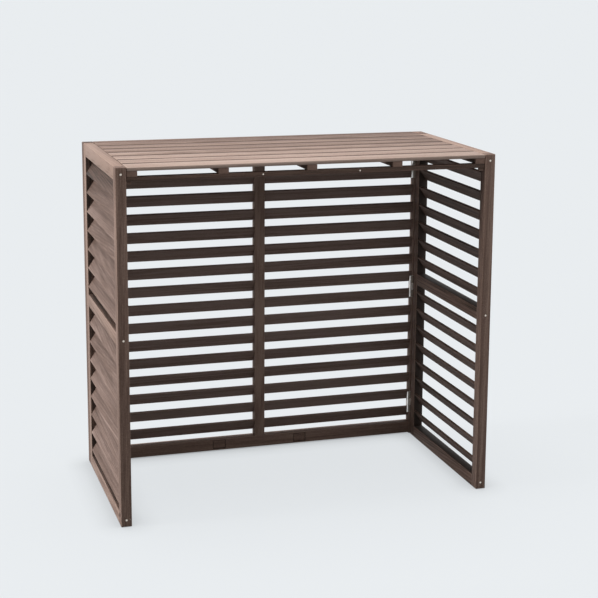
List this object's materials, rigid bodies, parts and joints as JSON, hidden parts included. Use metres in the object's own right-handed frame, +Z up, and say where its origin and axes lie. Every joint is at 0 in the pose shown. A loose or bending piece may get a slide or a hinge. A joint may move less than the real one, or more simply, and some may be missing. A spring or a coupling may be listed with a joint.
{
  "type": "air conditioner screen",
  "caption": "Hinged louvred timber screen for an outdoor unit: front and side panels and a lift-off slatted top, open at the wall side and underneath.",
  "frame": {"origin": "centre of the footprint, on the ground", "axes": "+X along the front panel, +Y from the open wall side towards the louvred front panel, +Z up"},
  "size_m": [0.9, 0.47, 0.826],
  "materials": {
    "frame_wood": "satin brown-grey stain",
    "louvre_wood": "satin brown-grey stain",
    "top_wood": "satin brown-grey stain",
    "batten_wood": "satin brown-grey stain",
    "fitting_steel": "bright zinc plated"
  },
  "bodies": {
    "front_panel": {"front_left_stile": "frame_wood", "front_right_stile": "frame_wood", "front_centre_stile": "frame_wood", "front_bottom_rail": "frame_wood", "front_top_rail": "frame_wood", "front_louvre_01": "louvre_wood", "front_louvre_02": "louvre_wood", "front_louvre_03": "louvre_wood", "front_louvre_04": "louvre_wood", "front_louvre_05": "louvre_wood", "front_louvre_06": "louvre_wood", "front_louvre_07": "louvre_wood", "front_louvre_08": "louvre_wood", "front_louvre_09": "louvre_wood", "front_louvre_10": "louvre_wood", "front_louvre_11": "louvre_wood", "front_louvre_12": "louvre_wood", "front_louvre_13": "louvre_wood", "front_louvre_14": "louvre_wood", "front_louvre_15": "louvre_wood", "front_louvre_16": "louvre_wood", "left_hinge_1_fixed_leaf": "fitting_steel", "left_hinge_2_fixed_leaf": "fitting_steel", "left_hinge_3_fixed_leaf": "fitting_steel", "right_hinge_1_fixed_leaf": "fitting_steel", "right_hinge_2_fixed_leaf": "fitting_steel", "right_hinge_3_fixed_leaf": "fitting_steel"},
    "left_side_panel": {"left_near_stile": "frame_wood", "left_far_stile_with_louvres": "louvre_wood", "left_bottom_rail": "frame_wood", "left_middle_rail": "frame_wood", "left_top_rail": "frame_wood", "left_near_rest_pin": "frame_wood", "left_far_rest_pin": "frame_wood", "left_hinge_1_moving_leaf": "fitting_steel", "left_hinge_2_moving_leaf": "fitting_steel", "left_hinge_3_moving_leaf": "fitting_steel"},
    "right_side_panel": {"right_near_stile": "frame_wood", "right_far_stile_with_louvres": "louvre_wood", "right_bottom_rail": "frame_wood", "right_middle_rail": "frame_wood", "right_top_rail": "frame_wood", "right_near_rest_pin": "frame_wood", "right_far_rest_pin": "frame_wood", "right_hinge_1_moving_leaf": "fitting_steel", "right_hinge_2_moving_leaf": "fitting_steel", "right_hinge_3_moving_leaf": "fitting_steel"},
    "top": {"top_slat_1": "top_wood", "top_slat_2": "top_wood", "top_slat_3": "top_wood", "top_slat_4": "top_wood", "top_slat_5": "top_wood", "top_slat_6": "top_wood", "top_slat_7": "top_wood", "top_batten_1": "batten_wood", "top_batten_2": "batten_wood", "top_batten_3": "batten_wood", "top_batten_4": "batten_wood", "top_batten_5": "batten_wood", "top_stretcher": "batten_wood"}
  },
  "joints": [
    {"name": "left_side_hinge", "type": "hinge", "parent": "front_panel", "child": "left_side_panel", "pos_m": [-0.417, 0.20825, 0.413], "axis": [0, 0, -1], "range_deg": [0, 3]},
    {"name": "right_side_hinge", "type": "hinge", "parent": "front_panel", "child": "right_side_panel", "pos_m": [0.417, 0.20825, 0.413], "axis": [0, 0, 1], "range_deg": [0, 3]},
    {"name": "top_lift", "type": "slide", "parent": "front_panel", "child": "top", "axis": [0, 0, 1], "range_m": [0, 0.2]}
  ]
}
